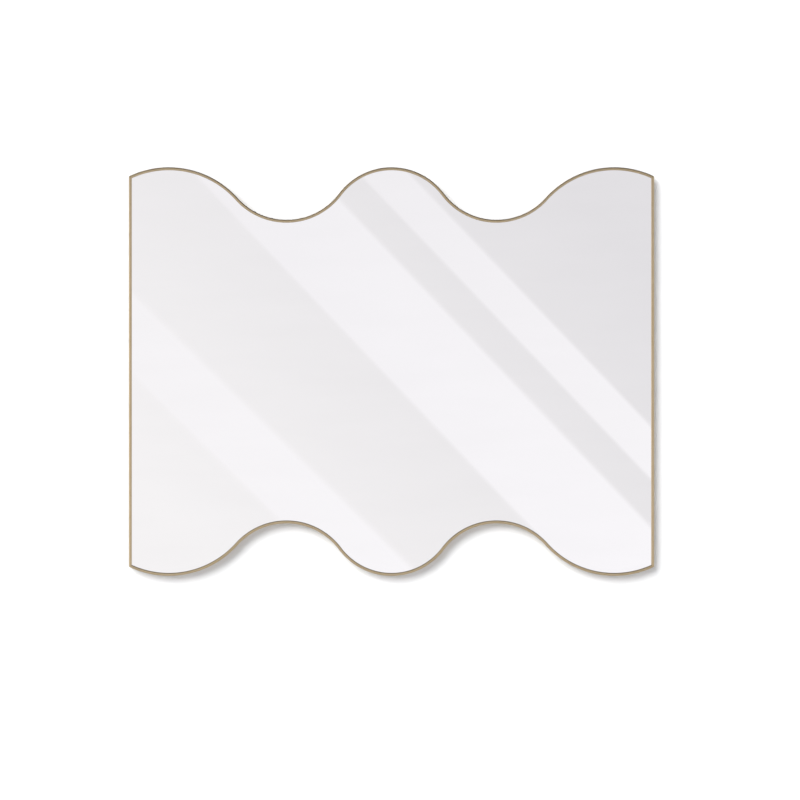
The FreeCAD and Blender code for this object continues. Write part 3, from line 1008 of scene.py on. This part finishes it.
wall_paint, tree = start_material("wall_paint_white")
plaster = add(tree, "ShaderNodeBsdfDiffuse", {"Color": linear("#F4F4F4")})
which_side = add(tree, "ShaderNodeNewGeometry")
end_clear(wall_paint, plaster, which_side.outputs["Backfacing"])
wall_place = (0, WALL_GAP, centre_z)
wall = stage_sheet(
    "stage_wall", -half_room, half_room, -FLOOR_BELOW, half_room, wall_place, UPRIGHT, wall_paint
)
wall.visible_shadow = False
wall.visible_diffuse = False
wall.visible_glossy = False
print(wall.name, ROOM, "m wide")

# %% [markdown]
# The pale floor lies well below the mirror. Its colour is painted a little darker away from it, as painted
# shade where the light would fall off, and then it fades into a painted glow of the fill light's colour, as
# a paper sweep does in a studio. So the mirror shows a soft change and no hard horizon when it is seen from
# the side.

# %% Floor
FADE_FROM = 4.0
FADE_TO = 6.8

floor_paint, tree = start_material("floor_pale_matt")
place = add(tree, "ShaderNodeTexCoord").outputs["Object"]
away = add(tree, "ShaderNodeVectorMath", {0: place}, operation="LENGTH")
painted_falloff, fade = (
    add(
        tree,
        "ShaderNodeMapRange",
        {"Value": away, "From Min": near, "From Max": far},
        interpolation_type="SMOOTHSTEP",
    )
    for near, far in ((0.0, FADE_FROM), (FADE_FROM, FADE_TO))
)
# The colour is painted darker away from the mirror, as painted shade where the light would fall off, and the
# far part glows with the fill light's colour, as painted light.
paint = add(
    tree, "ShaderNodeMix", {"Factor": painted_falloff, 6: linear("#EFEDEA"), 7: linear("#C8C9CB")}, data_type="RGBA"
)
pale = add(tree, "ShaderNodeBsdfDiffuse", {"Color": paint})
far_light = add(tree, "ShaderNodeEmission", {"Color": linear(HORIZON), "Strength": FILL})
sweep = add(tree, "ShaderNodeMixShader", {0: fade, 1: pale, 2: far_light})
end_material(floor_paint, sweep)
floor_place = (0, 0, centre_z - FLOOR_BELOW)
floor = stage_sheet(
    "stage_floor", -half_room, half_room, -half_room, half_room, floor_place, LEVEL, floor_paint
)
print(floor.name, FLOOR_BELOW, "m below the mirror's middle")

# %% [markdown]
# A soft key light stands far off at the upper left, so the shadow falls to the right and below. A sun lamp
# with a wide angle is such a light: it is as bright at both ends of the wall, and the angle sets how soft
# the shadow's edge is. A softbox close by would leave a bright patch on the wall. The key isn't seen in
# reflections, because the cards below take care of those. A weaker lamp lights the back of the mirror.

# %% Key light and back light
KEY_SIDE = (-0.52, -1.0, 0.6)
KEY_SPREAD = math.radians(38)
KEY_STRENGTH = 3.1
BACK_SIDE = (-0.6, 1.0, 0.7)
BACK_STRENGTH = 1.0


def far_softbox(name, side, strength):
    """A softbox so far off that it lights the whole wall evenly, with a wide edge to its shadows."""
    light = bpy.data.lights.new(name, "SUN")
    light.angle = KEY_SPREAD
    light.energy = strength
    lamp = bpy.data.objects.new(name, light)
    lamp.rotation_euler = (-Vector(side)).to_track_quat("-Z", "Y").to_euler()
    scene.collection.objects.link(lamp)
    return lamp


key = far_softbox("key_softbox", KEY_SIDE, KEY_STRENGTH)
key.visible_glossy = False
back = far_softbox("back_softbox", BACK_SIDE, BACK_STRENGTH)
print("lights:", key.name, back.name)

# %% [markdown]
# A mirror shows what stands in front of it, so the pale slant of the picture is made the way a studio makes
# it: a large card behind the camera, which shades from white at its lower left to grey at its upper right.
# It is seen in reflections only and lights nothing. A stretch of the mirror sees a stretch of the card that
# is larger by the two distances, measured from the camera's axis, so the card's shading can be placed by
# where it lies on the glass. The mirror takes a few percent of the light, which the card gives back. The
# card's sides fade out, so that the mirror shows no edge of it when it is seen from the side.

# %% Card that the mirror sees
CARD_DISTANCE = 6.0
CARD_SIDE = 2.6
CARD_FOOT = -1.4
CARD_TOP = 1.05
GLASS_REACH = 443 * MM
CARD_LEAN = math.radians(45)
CARD_LOW, CARD_HIGH = "#F5F3F4", "#E2E0E3"
CARD_SOFT = 0.7
MIRROR_KEEPS = 0.953

card_scale = 1 + CARD_DISTANCE / (glass_front - camera.location.y)
card_y = glass_front - CARD_DISTANCE


def on_card(on_glass, lean):
    """Where the card is seen at a distance from the mirror's centre, square to bands of that lean."""
    axis = camera_x * math.cos(lean) + (camera_z - centre_z) * math.sin(lean)
    return axis + (on_glass - axis) * card_scale


def glow(name, direction, low, high, low_colour, high_colour, half, soft):
    """A light that shades from one colour to another along its sheet, and fades out at its two sides."""
    material, tree = start_material(name)
    place = add(tree, "ShaderNodeTexCoord").outputs["Object"]
    way = add(tree, "ShaderNodeVectorMath", {0: place, 1: direction}, operation="DOT_PRODUCT")
    share = add(tree, "ShaderNodeMapRange", {"Value": way, "From Min": low, "From Max": high})
    colour = add(
        tree,
        "ShaderNodeMix",
        {"Factor": share, 6: linear(low_colour), 7: linear(high_colour)},
        data_type="RGBA",
    )
    light = add(tree, "ShaderNodeEmission", {"Color": colour, "Strength": 1 / MIRROR_KEEPS})
    split = add(tree, "ShaderNodeSeparateXYZ", {"Vector": place})
    off_middle = add(tree, "ShaderNodeMath", {0: split.outputs["X"]}, operation="ABSOLUTE")
    past = add(
        tree,
        "ShaderNodeMapRange",
        {"Value": off_middle, "From Min": half - soft, "From Max": half + soft},
        interpolation_type="SMOOTHSTEP",
    )
    end_clear(material, light, past)
    return material


def reflection_only(sheet):
    """A sheet that shows in reflections and nowhere else."""
    sheet.visible_camera = False
    sheet.visible_diffuse = False
    sheet.visible_shadow = False
    sheet.visible_transmission = False


card_ends = [on_card(reach, CARD_LEAN) for reach in (-GLASS_REACH, GLASS_REACH)]
up_right = (math.cos(CARD_LEAN), math.sin(CARD_LEAN), 0)
card_half = CARD_SIDE - CARD_SOFT
card_glow = glow("card_glow", up_right, *card_ends, CARD_LOW, CARD_HIGH, card_half, CARD_SOFT)
card = stage_sheet(
    "stage_card", -CARD_SIDE, CARD_SIDE, CARD_FOOT, CARD_TOP, (0, card_y, centre_z), UPRIGHT, card_glow
)
reflection_only(card)
print(f"{card.name} {CARD_DISTANCE} m away, seen {card_scale:.2f} times as large as on the glass")

# %% [markdown]
# The thin frame needs two sheets of its own. A dark flag above the card darkens the edges that face up. The
# key light is left out of reflections, so a bright card at the left stands in for it there, and runs down
# the rounded edges that face it as a fine light line. Both fade out towards an oval rim, so that the mirror
# shows a soft change and no rectangle when it is seen from below or from the right.

# %% Flag and side card that the frame sees
FLAG_REACH = 6.0
FLAG_RISE = 4.0
FLAG_CORE = 0.82
SIDE_CARD_X = -3.0
SIDE_CARD_Y = -3.0
SIDE_CARD_REACH = 2.4
SIDE_CARD_RISE = 1.4
SIDE_CARD_STRENGTH = 2.8
FACING_RIGHT = (math.radians(90), 0, math.radians(90))


def oval_sheet(name, reach, rise, core, colour, strength, location, rotation):
    """A sheet that glows evenly in an oval core, and fades out from there to its rim."""
    material, tree = start_material(f"{name}_glow")
    place = add(tree, "ShaderNodeTexCoord").outputs["Object"]
    share = add(tree, "ShaderNodeMapping", {"Vector": place, "Scale": (1 / reach, 1 / rise, 1)})
    off_middle = add(tree, "ShaderNodeVectorMath", {0: share}, operation="LENGTH")
    past = add(
        tree, "ShaderNodeMapRange", {"Value": off_middle, "From Min": core}, interpolation_type="SMOOTHSTEP"
    )
    light = add(tree, "ShaderNodeEmission", {"Color": linear(colour), "Strength": strength})
    end_clear(material, light, past)
    sheet = stage_sheet(f"stage_{name}", -reach, reach, -rise, rise, location, rotation, material)
    reflection_only(sheet)
    print(sheet.name, 2 * reach, "m wide")


flag_place = (0, card_y, centre_z + CARD_TOP + FLAG_RISE)
oval_sheet("flag", FLAG_REACH, FLAG_RISE, FLAG_CORE, "#3C3C3E", 1.0, flag_place, UPRIGHT)
oval_sheet(
    "side_card",
    SIDE_CARD_REACH,
    SIDE_CARD_RISE,
    0.0,
    "#FFFAF2",
    SIDE_CARD_STRENGTH,
    (SIDE_CARD_X, SIDE_CARD_Y, centre_z),
    FACING_RIGHT,
)

# %% [markdown]
# The bright diagonal bands are long strip lights, laid across the card at about 45 degrees. Painting them
# on the glass would be simpler, but then they would stay put when the eye moves, and a reflection doesn't.
# Each strip is placed by where its two edges cross the mirror, and fades out over a few millimetres of it.

# %% Strips that the mirror sees
STRIP_REACH = 1.7
STRIP_FORWARD = 0.02
# Where the two edges of each bright band cross the mirror's middle height, its lean from upright, how far it
# fades out to each side of an edge, and its colour at its lower and its upper end
BANDS = [
    ("left", -458 * MM, -311 * MM, math.radians(45.5), 8 * MM, "#FBF9FC", "#F4F2F4"),
    ("middle", -16 * MM, 194 * MM, math.radians(43.6), 5.5 * MM, "#FAF8FB", "#F0EEF1"),
    ("right", 272 * MM, 360 * MM, math.radians(43.7), 4.5 * MM, "#F9F7FA", "#EDEBEE"),
]

for name, low_x, high_x, lean, fade_out, low_colour, high_colour in BANDS:
    low_edge, high_edge = (on_card(x * math.cos(lean), lean) for x in (low_x, high_x))
    middle = (low_edge + high_edge) / 2
    half = (high_edge - low_edge) / 2
    soft = fade_out * card_scale
    reach = half + soft
    strip_glow = glow(
        f"{name}_strip_glow", (0, 1, 0), -STRIP_REACH, STRIP_REACH, low_colour, high_colour, half, soft
    )
    strip = stage_sheet(
        f"stage_{name}_strip",
        -reach,
        reach,
        -STRIP_REACH,
        STRIP_REACH,
        (middle * math.cos(lean), card_y + STRIP_FORWARD, centre_z + middle * math.sin(lean)),
        (math.radians(90), -lean, 0),
        strip_glow,
    )
    reflection_only(strip)
print(len(BANDS), "strips")

# %% [markdown]
# Last, the box of the dressed mirror is printed, to set beside the imported model's box that was printed at
# the start. Last, the size rule: the dressed mirror has to stay in the imported model's box.

# %% Measure the dressed mirror
low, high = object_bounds()
print("dressed box:", tuple(low), tuple(high))
